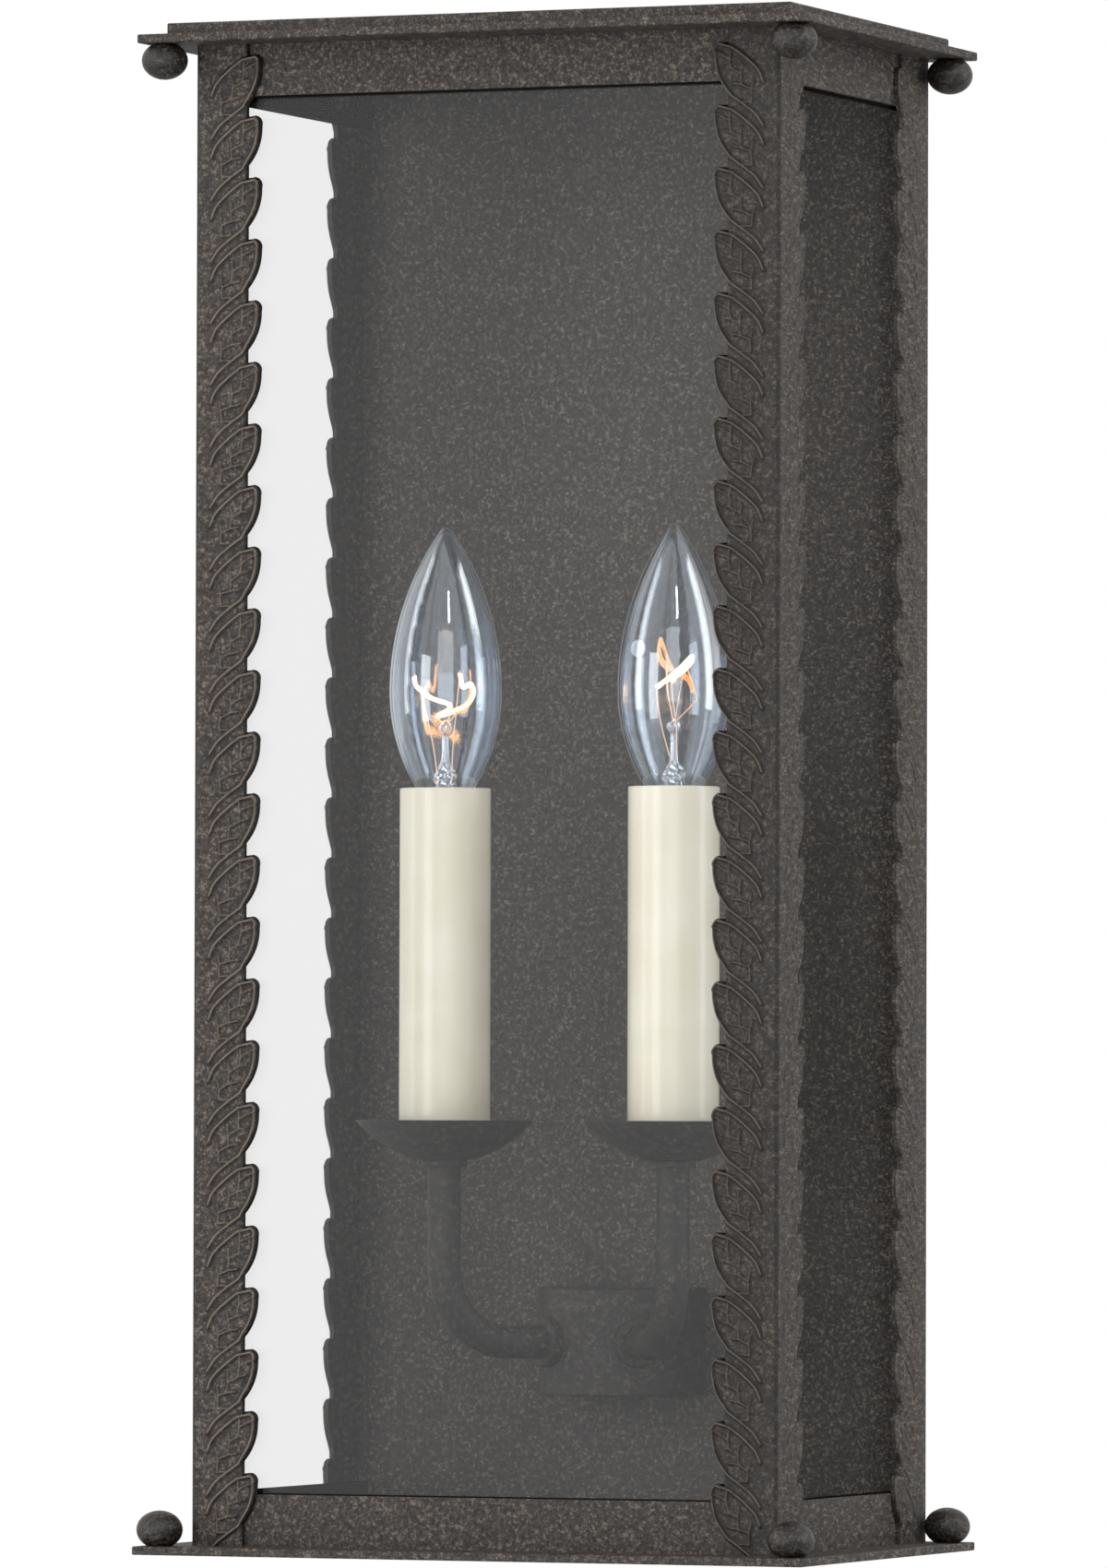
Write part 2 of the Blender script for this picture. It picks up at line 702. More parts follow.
def flange_rows(top, bottom, tips):
    """Rows of a leafed flange: each one's height at the notch line, and its reach past that line.

    Past the notch line a row climbs by LEAF_SLANT, so that a tip may overhang its shoulder.
    """
    edge = leaf_edge()
    lean = edge[:, 1] + LEAF_SLANT * edge[:, 0]
    gap = np.linspace(lean[-1], sizes().leaf_pitch + lean[0], NOTCH_ROWS + 2)[1:-1]
    drop = np.concatenate([lean, gap])
    out = np.concatenate([edge[:, 0], np.zeros(NOTCH_ROWS)])
    level = (tips[:, None] - drop).ravel()
    above = np.linspace(top, level[0], NOTCH_ROWS)[:-1]
    below = np.linspace(level[-1], bottom, NOTCH_ROWS)[1:]
    reach = np.concatenate([np.zeros(len(above)), np.tile(out, len(tips)), np.zeros(len(below))])
    return np.concatenate([above, level, below]), reach


def bead_line(inset):
    """The bead round a leaf: over the flange to the shoulder, round the edge inside it, and back."""
    edge = leaf_edge()
    along = unit(np.gradient(edge, axis=0))
    inside = edge + inset * np.stack([-along[:, 1], along[:, 0]], axis=1)
    return np.concatenate([flowing(UPPER_BEAD, 16), inside[2:-2], flowing(LOWER_BEAD, 16)])


def vein_lines(rng):
    """A zigzag midrib along the leaf and a side vein from each of its bends, different on every leaf."""
    share = np.linspace(0.10, 0.90, VEIN_BENDS) + rng.normal(0, 0.012, VEIN_BENDS)
    way = np.where(np.arange(VEIN_BENDS) % 2, 1.0, -1.0)
    swing = (1.0 - 0.35 * share) * way * MM + rng.normal(0, 0.16 * MM, VEIN_BENDS)
    rib = LEAF_FOOT + share[:, None] * LEAF_ALONG + swing[:, None] * LEAF_ACROSS
    tips = rib + (0.09 * LEAF_ALONG + (2.3 - 1.1 * share[:, None]) * MM * way[:, None] * LEAF_ACROSS)
    return [rib] + [np.stack(pair) for pair in zip(rib, tips)]


def leaf_relief(u, v, notch, tips, rng, inset):
    """Height of the cast leaves over a flange, and its marks.

    At distance d from its line a bead's height is half of 1 + cos(pi d / w) and a vein's exp(-(d / w)^2).
    The leaf swells gently along its middle line.
    """
    size = sizes()
    height, marks = np.zeros_like(u), np.broadcast_to(PLAIN, (*u.shape, 3)).copy()
    bead = bead_line(inset)
    for tip in tips:
        drop = tip - v
        window = (drop > LEAF_WINDOW[0]) & (drop < LEAF_WINDOW[1]) & (u > notch - LEAF_SPAN)
        place = np.stack([u[window] - notch, drop[window]], axis=1)
        fade = np.clip((place[:, 0] + LEAF_SPAN) / LEAF_FADE, 0, 1)
        far = nearest(place, bead) + 1.2 * MM * (1 - fade)
        rise = size.bead_height * 0.5 * (1 + np.cos(math.pi * np.clip(far / size.bead_width, 0, 1)))
        groove = np.exp(-(((far - 1.45 * size.bead_width) / (0.45 * size.bead_width)) ** 2))
        off = place - LEAF_FOOT
        lengthwise = (off @ LEAF_ALONG) / (LEAF_ALONG @ LEAF_ALONG)
        swell = np.clip(4 * lengthwise, 0, 1) * np.clip(8 * (1 - lengthwise), 0, 1)
        swell *= np.exp(-((off @ LEAF_ACROSS / SWELL_WIDTH) ** 2))
        vein = np.min([nearest(place, line) for line in vein_lines(rng)], axis=0)
        veins = np.exp(-((vein / VEIN_WIDTH) ** 2))
        height[window] = np.maximum(height[window], rise + size.vein_height * veins + SWELL_HEIGHT * swell)
        height[window] -= GROOVE_DEPTH * groove
        marks[window, 0] = np.minimum(marks[window, 0], far / MM)
        marks[window, 1] = np.minimum(marks[window, 1], vein / MM)
    return height, marks


def leafed_flange(level, reach, notch, fold, tips, rng, tone, dark):
    """Grid of one leafed flange: distances from the corner, heights, relief and marks.

    tone is the whole flange's, and dark is its rim's.
    """
    plain = np.linspace(fold, notch - LEAF_SPAN, PLAIN_COLUMNS, endpoint=False)
    share = np.linspace(0, 1, LEAF_COLUMNS)
    leafy = notch - LEAF_SPAN + share * (LEAF_SPAN + reach[:, None])
    u = np.concatenate([np.broadcast_to(plain, (len(level), PLAIN_COLUMNS)), leafy], axis=1)
    v = level[:, None] + LEAF_SLANT * np.maximum(u - notch, 0)
    height, marks = leaf_relief(u, v, notch, tips, rng, (0.75 + 0.5 * dark) * sizes().bead_width)
    height *= 1 + 0.6 * min(tone, 0)
    height[:, -2:] -= RIM_DROP
    marks[..., 2] = tone
    marks[:, -2:, 2] = (0.4 * dark + tone, max(dark, tone))
    return u, v, height, marks


def bare_flange(level, width, fold):
    """Grid of one plain flange."""
    u = np.broadcast_to(np.linspace(fold, width, PLAIN_COLUMNS), (len(level), PLAIN_COLUMNS))
    v = np.broadcast_to(level[:, None], u.shape)
    return u, v, np.zeros_like(u), np.broadcast_to(PLAIN, (*u.shape, 3))


def folded_post(name, margin, corner, outs, widths, second_leafed, rng, tone, dark):
    """A folded sheet post: a flange's point is corner - u times the other way out + height times its own.

    The fold is a quarter circle, the inside is flat, and rims and end caps close the sheet.
    """
    first_out, second_out = outs
    first_width, second_width = widths
    size = sizes()
    middle, low, high = spot(name)
    top, bottom = high[2], low[2]
    tips = leaf_tips(top, bottom, margin)
    level, reach = flange_rows(top, bottom, tips)
    notch = first_width - size.leaf_reach
    first = leafed_flange(level, reach, notch, size.fold_radius, tips, rng, tone, dark)
    if second_leafed:
        inset = second_width - size.leaf_reach
        second = leafed_flange(level, reach, inset, size.fold_radius, tips, rng, SIDE_TONE, dark)
    else:
        second = bare_flange(level, second_width, size.fold_radius)

    def laid(u, v, height, own, other):
        plan = corner - u[..., None] * other + height[..., None] * own
        return np.concatenate([plan, v[..., None]], axis=-1)

    turn = np.linspace(0, math.pi / 2, FOLD_COLUMNS + 2)[1:-1, None]
    ring = corner - size.fold_radius * (first_out + second_out)
    ring = ring + size.fold_radius * (np.cos(turn) * first_out + np.sin(turn) * second_out)
    fold = np.concatenate([
        np.broadcast_to(ring, (len(level), *ring.shape)),
        np.broadcast_to(level[:, None, None], (len(level), FOLD_COLUMNS, 1)),
    ], axis=-1)
    outside = np.concatenate([
        laid(*first[:3], first_out, second_out)[:, ::-1],
        fold,
        laid(*second[:3], second_out, first_out),
    ], axis=1)
    crease = np.broadcast_to((*PLAIN[:2], FOLD_TONE), fold.shape)
    marks = np.concatenate([first[3][:, ::-1], crease, second[3]], axis=1)

    def inner(flange, own, other):
        u = np.stack([flange[0][:, -1], 0 * level + notch - LEAF_SPAN, 0 * level + size.sheet], axis=1)
        v = np.stack([flange[1][:, -1], level, level], axis=1)
        return laid(u, v, np.full_like(u, -size.sheet), own, other)

    inside = np.concatenate([
        inner(first, first_out, second_out),
        inner(second, second_out, first_out)[:, 1::-1],
    ], axis=1)
    shell = Shell()
    skin = shell.grid(outside, marks=marks)
    shadow = (LINING_TONE, 0.0, 0.0, 0.0, LINING_TONE if second_leafed else 0.0)
    lining = shell.grid(inside, marks=[(*PLAIN[:2], share) for share in shadow])
    shell.skin(np.stack([skin[:, 0], lining[:, 0]], axis=1))
    shell.skin(np.stack([skin[:, -1], lining[:, -1]], axis=1))
    shell.cap(np.concatenate([skin[0], lining[0, ::-1]]))
    shell.cap(np.concatenate([skin[-1], lining[-1, ::-1]]))
    shell.piece("leaf_" + name, iron("leaf_iron"), "lantern", "textured_iron", name, crease=POST_CREASE)


class SCONCE_OT_posts(Operator):
    """Four folded corner posts with cast leaves along their edges"""

    bl_idname = "sconce.posts"
    bl_label = "Leaf posts"

    def execute(self, context):
        size = sizes()
        front_out, back_out = np.array((0.0, -1.0)), np.array((0.0, 1.0))
        first_leaves = {
            "left": (size.leaf_top_front_left, size.leaf_top_back_left),
            "right": (size.leaf_top_right, size.leaf_top_right),
        }
        for hand, side in HANDS:
            rng = np.random.default_rng(11 + side)
            dark, tone = (RIM_TONE, 0.0) if side < 0 else (0.0, RIGHT_TONE)
            front_top, back_top = first_leaves[hand]
            side_out = np.array((float(side), 0.0))
            name = "post_front_" + hand
            middle, low, high = spot(name)
            wide, deep = (high - low)[:2]
            corner = np.array((side * max(abs(low[0]), abs(high[0])), low[1]))
            outs = (front_out, side_out)
            folded_post(name, front_top, corner, outs, (wide, deep), True, rng, tone, dark)
            name = "post_back_" + hand
            middle, low, high = spot(name)
            wide, deep = (high - low)[:2]
            corner = np.array((corner[0], high[1]))
            outs = (side_out, back_out)
            folded_post(name, back_top, corner, outs, (deep, wide), False, rng, SIDE_TONE, dark)
        return {"FINISHED"}


# Corner balls


def ball_profile(height, radius, seat, shank, shank_length):
    """Half outline of an oblate ball hanging from height 0: an ellipse cut at its seat, then its shank."""
    level = math.sqrt(1 - (seat / radius) ** 2)
    half = height / (1 + level)
    turn = np.linspace(math.pi, math.asin(seat / radius), 40)
    ellipse = np.stack([radius * np.sin(turn), half * (np.cos(turn) - level)], axis=1)
    stem = [(shank, 0), (shank, shank_length), (0, shank_length)]
    return np.concatenate([ellipse, stem])


class SCONCE_OT_balls(Operator):
    """Four oblate balls under the roof plate and four on the base plate, each with its riveted shank"""

    bl_idname = "sconce.balls"
    bl_label = "Corner balls"

    height: length("Ball height", "From the plate to the ball's far side", 10.0 * MM)
    radius: length("Ball radius", "Half the ball's width", 6.55 * MM)
    seat: length("Seat radius", "Where the ball meets its plate", 3.5 * MM)
    shank: length("Shank radius", "Riveted shank", 2.0 * MM)

    def execute(self, context):
        for node, body, way in (("roof_balls", "roof", 1), ("base_balls", "lantern", -1)):
            middle, low, high = spot(node)
            shank_length = high[2] - low[2] - self.height
            seat_level = low[2] + self.height if way > 0 else high[2] - self.height
            profile = ball_profile(self.height, self.radius, self.seat, self.shank, shank_length)
            profile[:, 1] = seat_level + way * profile[:, 1]
            shell = Shell()
            for x in (low[0] + self.radius, high[0] - self.radius):
                for y in (low[1] + self.radius, high[1] - self.radius):
                    shell.grid(turned(profile, (x, y)), close_columns=True)
            shell.piece("turned_" + node, iron("ball_iron"), body, "textured_iron", node)
        return {"FINISHED"}


# Hub and arms


def drum_surface(radius, axis_y, back_y, low, high, ease):
    """A drum with a half-round front: its plan shrinks by the inset of a rounded profile at each height."""
    rim = np.concatenate([
        [(radius, low)],
        eased((radius, low), (0, low), (0, high), ease),
        eased((0, low), (0, high), (radius, high), ease),
        [(radius, high)],
    ])
    inset, height = rim[:, :1], rim[:, 1:]
    turn = np.linspace(math.pi, 2 * math.pi, 61)
    plan_x = np.concatenate([[-1.0], np.cos(turn), [1.0]])
    plan_y = np.concatenate([[0.0], np.sin(turn), [0.0]])
    run = np.concatenate([[back_y - axis_y], 0 * turn, [back_y - axis_y]])
    x = (radius - inset) * plan_x
    y = axis_y + (radius - inset) * plan_y + run
    return np.stack([x, y, np.broadcast_to(height, x.shape)], axis=-1)


class SCONCE_OT_hub(Operator):
    """Drum-shaped hub on the back panel and the collars where the arms enter it"""

    bl_idname = "sconce.hub"
    bl_label = "Hub and collars"

    ease: length("Edge radius", "Rounded edges of the drum", 1.1 * MM)
    collar_radius: length("Collar radius", "Outside of the collars", 7.2 * MM)
    collar_out: length("Collar thickness", "How far the collars stand out from the drum", 2.6 * MM)

    def execute(self, context):
        middle, low, high = spot("hub_shell")
        radius = (high[0] - low[0]) / 2
        axis = np.array((0.0, low[1] + radius))
        shell = Shell()
        skin = shell.grid(drum_surface(radius, axis[1], high[1], low[2], high[2], self.ease))
        shell.cap(np.concatenate([skin[:, 0], skin[::-1, -1]]))
        shell.piece("hub_drum", iron("inner_iron"), "lantern", "textured_iron", "hub_shell")
        hole = sizes().arm_diameter / 2
        outline = rounded(
            [(hole, radius - self.collar_out), (self.collar_radius, radius - self.collar_out),
             (self.collar_radius, radius + self.collar_out), (hole, radius + self.collar_out)],
            (0.2 * MM, 0.2 * MM, 1.2 * MM, 0.5 * MM),
        )
        for hand, side in HANDS:
            candle = spot("candle_sleeve_" + hand)[0]
            way = np.array([*unit(candle[:2] - axis), 0.0])
            ring = turned(outline, (0, 0))
            up = np.array((0.0, 0.0, 1.0))
            basis = np.stack([np.cross(up, way), up, way])
            shell = Shell()
            shell.grid(ring @ basis + np.array([*axis, middle[2]]), close_rows=True, close_columns=True)
            name = "arm_collar_" + hand
            shell.piece("turned_" + name, iron("inner_iron"), "lantern", "textured_iron", name)
        return {"FINISHED"}


class SCONCE_OT_arms(Operator):
    """Two bent tubes from the hub to the candles"""

    bl_idname = "sconce.arms"
    bl_label = "Arms"

    start: length("Start", "Where an arm starts, from the hub's axis", 14.0 * MM)

    def execute(self, context):
        hub, hub_low, hub_high = spot("hub_shell")
        axis = np.array((0.0, hub_low[1] + (hub_high[0] - hub_low[0]) / 2))
        radius, bend = sizes().arm_diameter / 2, sizes().arm_bend
        for hand, side in HANDS:
            candle = spot("candle_sleeve_" + hand)[0]
            top = spot("arm_" + hand)[2][2] - hub[2]
            reach = np.linalg.norm(candle[:2] - axis)
            way = unit(candle[:2] - axis)
            turn = np.linspace(0, math.pi / 2, 25)
            run = np.linspace(self.start, reach - bend, 8)[:-1]
            rise = np.linspace(bend, top, 8)[1:]
            out = np.concatenate([run, reach - bend + bend * np.sin(turn), 0 * rise + reach])
            up = np.concatenate([0 * run, bend - bend * np.cos(turn), rise])
            plan = axis + out[:, None] * way
            path = np.concatenate([plan, hub[2] + up[:, None]], axis=1)
            shell = Shell()
            shell.tube(carried(path, radius, np.array([way[1], -way[0], 0.0]), sides=40))
            name = "arm_" + hand
            shell.piece("bent_" + name, iron("inner_iron"), "lantern", "textured_iron", name)
        return {"FINISHED"}


# Candles


def pan_profile(low, high, radius, sheet, hole, flat, curve):
    """Closed outline of a drip pan: flat round the arm, an arc up to a rounded rim and its offset back."""

    def wall(lift, bow):
        start, end = np.array((flat, low + lift)), np.array((radius - lift, high))
        chord = end - start
        span = np.linalg.norm(chord)
        sag = bow - math.sqrt(bow**2 - (span / 2) ** 2)
        middle = (start + end) / 2 + sag * np.array((chord[1], -chord[0])) / span
        return arc_through(start, middle, end, 28)

    under, inside = wall(0.0, curve), wall(sheet, curve - sheet)
    turn = np.linspace(0, math.pi, 8)[1:-1, None]
    lip = (under[-1] + inside[-1]) / 2
    across = (under[-1] - inside[-1]) / 2
    rim = lip + across * np.cos(turn) + np.linalg.norm(across) * np.sin(turn) * np.array((0.0, 1.0))
    rim[:, 1] -= np.linalg.norm(across)
    under, inside = under[:-2], inside[:-2]
    return np.concatenate([[(hole, low)], under, rim, inside[::-1], [(hole, low + sheet)]])


class SCONCE_OT_pans(Operator):
    """Spun drip pans and the turned rings under them"""

    bl_idname = "sconce.pans"
    bl_label = "Drip pans"

    flat: length("Flat", "Radius of the pans' flat middle", 8.0 * MM)
    curve: length("Curve", "Radius of the pans' rising wall", 36.0 * MM)

    def execute(self, context):
        hole = sizes().arm_diameter / 2
        details = (iron("inner_iron"), "lantern", "textured_iron")
        for hand, side in HANDS:
            name = "drip_pan_" + hand
            middle, foot, top, radius = round_spot(name)
            outline = pan_profile(foot, top, radius, sizes().pan_sheet, hole, self.flat, self.curve)
            turned_piece("spun_" + name, outline, middle, True, *details, name)
            name = "check_ring_" + hand
            middle, foot, top, radius = round_spot(name)
            ring = [(hole, foot), (radius, foot), (radius, top), (hole, top)]
            turned_piece("turned_" + name, rounded(ring, 0.6 * MM), middle, True, *details, name)
        return {"FINISHED"}


class SCONCE_OT_sleeves(Operator):
    """Ivory candle sleeves with softly rounded ends"""

    bl_idname = "sconce.sleeves"
    bl_label = "Candle sleeves"

    def execute(self, context):
        for hand, side in HANDS:
            name = "candle_sleeve_" + hand
            middle, foot, top, radius = round_spot(name)
            bore = radius - sizes().sleeve_wall
            outline = [(radius, foot), (radius, top), (bore, top), (bore, foot)]
            outline = rounded(outline, (0.2 * MM, 0.5 * MM, 0.5 * MM, 0.2 * MM))
            details = (ivory(), "sleeve_" + hand, "sleeve_ivory", name)
            turned_piece("ivory_" + name, outline, middle, True, *details)
        return {"FINISHED"}


# Bulbs

# Glow of the filament and of its wires, and the height and spread of the stem's press
FILAMENT_GLOW, WIRE_GLOW = 9.0, 0.3
PRESS_LEVEL, PRESS_SPREAD = 9 * MM, 3.5 * MM
# Stem: heights and radii in mm
STEM = (
    (0, 3.7), (3, 3.5), (6, 3.0), (8.5, 3.3), (10, 2.7), (11.5, 2.0), (13, 1.4), (15, 1.15), (19, 1.05),
    (20.5, 1.2), (21.5, 2.0), (22.5, 2.35), (23.6, 2.0), (24.4, 0.9), (25, 0),
)
# Filaments and the wires that hold them: mm right, back and up from the stem's foot, as seen by the camera
GARLANDS = {
    "left": (
        (-9.0, 2.0, 37.5), (-8.6, 2.3, 35.3), (-7.0, 3.0, 33.5), (-3.8, 4.5, 31.3), (1.0, 5.0, 29.6),
        (0.6, 4.8, 28.0), (-2.3, 3.8, 26.2), (1.9, 3.4, 27.5), (6.4, 2.4, 29.8), (7.9, 1.6, 32.9),
        (7.0, -0.6, 35.3), (4.9, -2.2, 34.4), (4.1, -3.2, 38.2),
    ),
    "right": (
        (-4.9, 2.0, 33.6), (-3.4, 3.4, 34.9), (-1.2, 4.4, 36.6), (1.4, 4.2, 38.8), (3.6, 2.6, 41.0),
        (5.0, 0.0, 42.2), (4.6, -2.6, 40.6), (2.6, -4.0, 38.2), (0.4, -4.4, 36.6), (-0.9, -4.0, 35.0),
    ),
}
HOLDERS = {
    "left": (
        ((-2.0, 0.4, 6.0), (-3.6, 1.0, 18.0), (-6.4, 1.6, 30.0), (-9.0, 2.0, 38.3)),
        ((1.6, -0.8, 6.0), (2.2, -1.6, 18.0), (3.2, -2.4, 29.0), (4.1, -3.2, 39.0)),
        ((0.3, 0.2, 24.0), (1.4, 3.4, 27.2), (1.5, 5.2, 29.8), (0.8, 5.6, 30.2)),
        ((-0.3, 0.3, 24.0), (-2.0, 2.8, 25.2), (-2.6, 4.2, 26.4), (-2.2, 4.4, 27.0)),
        ((0.5, 0.0, 24.0), (4.6, 1.0, 28.6), (7.6, 1.2, 33.4), (8.4, 1.6, 33.8)),
    ),
    "right": (
        ((-1.2, 0.6, 14.0), (-3.4, 1.2, 22.0), (-4.6, 1.8, 29.0), (-4.9, 2.0, 34.6)),
        ((0.8, -1.2, 14.0), (0.6, -2.8, 22.0), (-0.4, -3.6, 30.0), (-0.9, -4.0, 36.0)),
        ((0.5, 0.0, 24.0), (5.0, 0.6, 28.6), (6.3, 0.2, 31.2), (3.2, 3.0, 40.6)),
        ((-0.2, 0.4, 24.0), (-1.6, 2.8, 31.0), (-2.0, 4.2, 36.0), (-2.2, 4.4, 40.2)),
        ((0.2, -0.4, 24.0), (1.2, -2.6, 30.0), (2.2, -4.4, 36.0), (2.4, -4.6, 38.6)),
    ),
}


def bulb_side(neck, neck_level, collar, fullest, belly, nib, nib_height, tip):
    """Outline of a torpedo: an arc up to its fullest, upright there, an arc to the nib and a round end."""

    def arc(radius, level):
        bow = ((fullest - radius) ** 2 + (belly - level) ** 2) / (2 * (fullest - radius))
        height = np.linspace(level, belly, 40)
        return np.stack([fullest - bow + np.sqrt(bow**2 - (height - belly) ** 2), height], axis=1)

    lower, upper = arc(neck, collar), arc(nib, tip - nib_height)[::-1]
    bow = (nib**2 + nib_height**2) / (2 * nib_height)
    turn = np.linspace(math.asin(nib / bow), 0, 10)[1:]
    end = np.stack([bow * np.sin(turn), tip - bow * (1 - np.cos(turn))], axis=1)
    return np.concatenate([[(neck, neck_level)], lower, upper[1:], end])


class SCONCE_OT_bulbs(Operator):
    """Clear torpedo bulbs with stem, glowing filament and screw cap"""

    bl_idname = "sconce.bulbs"
    bl_label = "Bulbs"

    belly: length("Belly", "Height of the fullest part above the neck", 33.0 * MM)
    neck: length("Neck radius", "Glass at the cap", 5.3 * MM)
    collar: length("Collar", "Straight neck in the cap", 1.05 * MM)
    nib: length("Nib radius", "Where the bulb's side meets its round end", 1.7 * MM)
    nib_height: length("Nib height", "Height of the round end", 0.9 * MM)
    thread_pitch: length("Thread pitch", "Screw cap", 2.5 * MM)
    thread_depth: length("Thread depth", "Screw cap", 0.5 * MM)
    coil_pitch: length("Coil pitch", "One turn of the filament", 0.55 * MM)

    def glass(self, hand):
        """Outer wall up, a rounded nib, and the inner wall back down, carried round the axis."""
        name = "bulb_glass_" + hand
        middle, foot, top, fullest = round_spot(name)
        wall = sizes().bulb_wall
        levels = (foot, foot + self.collar)
        end = (foot + self.belly, self.nib, self.nib_height)
        outer = bulb_side(self.neck, *levels, fullest, *end, top)
        inner = bulb_side(self.neck - wall, *levels, fullest - wall, *end, top - 2 * wall)
        profile = np.concatenate([outer[::-1], inner])
        details = (bulb_glass(), "bulb_" + hand, "bulb_glass", name)
        turned_piece("torpedo_" + name, profile, middle, False, *details)

    def stem(self, hand):
        """Pressed foot, rod and button, carried round the axis, with the press flattened in one way."""
        name = "bulb_stem_" + hand
        middle, low, high = spot(name)
        heights, radii = np.array(STEM).T * MM
        level = np.linspace(0, heights[-1], 120)
        radius = np.interp(level, heights, radii)
        profile = np.stack([np.append(0.0, radius), np.append(0.0, level) + low[2]], axis=1)
        points = turned(profile, (0, 0))
        rise = points[..., 2] - low[2]
        press = np.exp(-(((rise - PRESS_LEVEL) / PRESS_SPREAD) ** 2))
        angle = full_turn(TURN_STEPS)
        ripple = 1 + press * 0.10 * np.sin(5 * angle + 900 * rise) * np.sin(2200 * rise)
        points[..., 1] *= (1 - 0.40 * press) * ripple
        points[..., 0] *= (1 + 0.10 * press) * ripple
        points[..., :2] += middle[:2]
        shell = Shell()
        shell.grid(points, close_columns=True)
        shell.piece("pressed_" + name, stem_glass(), "bulb_" + hand, "bulb_glass", name)

    def filament(self, hand):
        """A coil carried round a garland of wire, and the leads and hooks that hold it."""
        name = "bulb_filament_" + hand
        middle, low, high = spot("bulb_stem_" + hand)
        cosine, sine = math.cos(CAMERA_AZIMUTH), math.sin(CAMERA_AZIMUTH)
        spin = np.array([(cosine, sine, 0), (-sine, cosine, 0), (0, 0, 1)])
        home = np.array((middle[0], middle[1], low[2]))

        def placed(points):
            return np.array(points) * MM @ spin + home

        line = flowing(placed(GARLANDS[hand]), 1400)
        along = unit(np.gradient(line, axis=0))
        side = unit(np.cross(along, (0.13, 0.21, 0.97)))
        up = np.cross(side, along)
        travelled = np.append(0, np.cumsum(np.linalg.norm(np.diff(line, axis=0), axis=1)))
        phase = (2 * math.pi * travelled / self.coil_pitch)[:, None]
        coil = line + sizes().coil_radius * (np.cos(phase) * side + np.sin(phase) * up)
        shell = Shell()
        shell.tube(carried(coil, sizes().coil_wire, along, sides=6))
        hot = glow("filament", tuple(colours().hot), FILAMENT_GLOW)
        shell.piece("coiled_" + name, hot, "bulb_" + hand, "filament", name)
        wires = Shell()
        for points in HOLDERS[hand]:
            wires.tube(carried(flowing(placed(points), 30), sizes().lead_wire, (0.97, 0.2, 0.1), sides=10))
        warm = glow("lead_wire", tuple(colours().warm), WIRE_GLOW)
        wires.piece("filament_holders_" + hand, warm, "bulb_" + hand, "filament", name)

    def cap(self, hand):
        """Screw cap: its radius waves with the thread, then a cone to the centre contact."""
        name = "bulb_base_" + hand
        middle, foot, top, radius = round_spot(name)
        lip, brim = top - 1.1 * MM, top - 1.0 * MM
        level = np.linspace(brim, foot + 3.5 * MM, 90)
        wave = 0.5 - 0.5 * np.cos(2 * math.pi * (brim - level) / self.thread_pitch)
        thread = np.stack([radius - self.thread_depth * wave, level], axis=1)
        seat = [(0.0, lip), (self.neck, lip), (self.neck, top), (radius, top)]
        contact = [(3.4 * MM, foot + 0.7 * MM), (3.0 * MM, foot), (0.0, foot)]
        cone = [(radius - 1.2 * MM, foot + 2.4 * MM), *contact]
        details = (brass(), "bulb_" + hand, "brass", name)
        turned_piece("screw_cap_" + hand, np.concatenate([seat, thread, cone]), middle, False, *details)

    def execute(self, context):
        for hand, side in HANDS:
            self.glass(hand)
            self.stem(hand)
            self.filament(hand)
            self.cap(hand)
        return {"FINISHED"}


# CAD nodes that keep their shape


class SCONCE_OT_sheetwork(Operator):
    """Finish of the roof, base, rails and back panel"""

    bl_idname = "sconce.sheetwork"
    bl_label = "Sheet iron"

    def execute(self, context):
        dress(iron("panel_iron"), "back_panel")
        outside = iron("textured_iron")
        dress(outside, "roof_plate", "roof_step", "base_plate", "rail_top_front", "rail_bottom_front")
        dress(outside, *both("rail_top", "rail_bottom"))
        return {"FINISHED"}


class SCONCE_OT_glazing(Operator):
    """Finish of the panes"""

    bl_idname = "sconce.glazing"
    bl_label = "Glazing"

    def execute(self, context):
        dress(pane_glass(), "glass_front", *both("glass"))
        return {"FINISHED"}


class SCONCE_OT_fittings(Operator):
    """Finish of the clips, lugs, nuts, lamp holders, leads and seals"""

    bl_idname = "sconce.fittings"
    bl_label = "Fittings"

    def execute(self, context):
        dress(iron("textured_iron"), "glass_clips", "roof_lugs")
        colour = colours()
        zinc = bare_metal("zinc_steel", tuple(colour.zinc), 0.34)
        dress(zinc, "hub_screws", "arm_nuts", *both("socket_bracket"))
        phenolic = moulded("phenolic", tuple(colour.phenolic), 0.42, 1500, 0.03 * MM)
        dress(phenolic, *both("socket_body"))
        dress(brass(), *both("socket_shell", "socket_contact"))
        insulation = moulded("lead_insulation", tuple(colour.insulation), 0.5, 1800, 0.02 * MM)
        dress(insulation, *both("lead"))
        rubber = moulded("rubber_seal", tuple(colour.rubber), 0.8, 1400, 0.15 * MM)
        dress(rubber, "wall_gasket", "lead_grommet")
        return {"FINISHED"}


# Stage


def aimed(eye, target):
    """A lamp's matrix: at eye, looking along its own -Z at target, with +Y up."""
    back = unit(np.array(eye, float) - np.array(target, float))
    right = unit(np.cross((0, 0, 1), back))
    columns = np.stack([right, np.cross(back, right), back], axis=1)
    return Matrix.Translation(eye) @ Matrix(columns.tolist()).to_4x4()


def softbox(name, eye, width, height, power):
    """A rectangular lamp."""
    lamp = bpy.data.lights.new(name, "AREA")
    lamp.shape = "RECTANGLE"
    lamp.size, lamp.size_y = width, height
    lamp.energy = power
    linked(name, lamp).matrix_world = aimed(eye, LAMP_AIM)


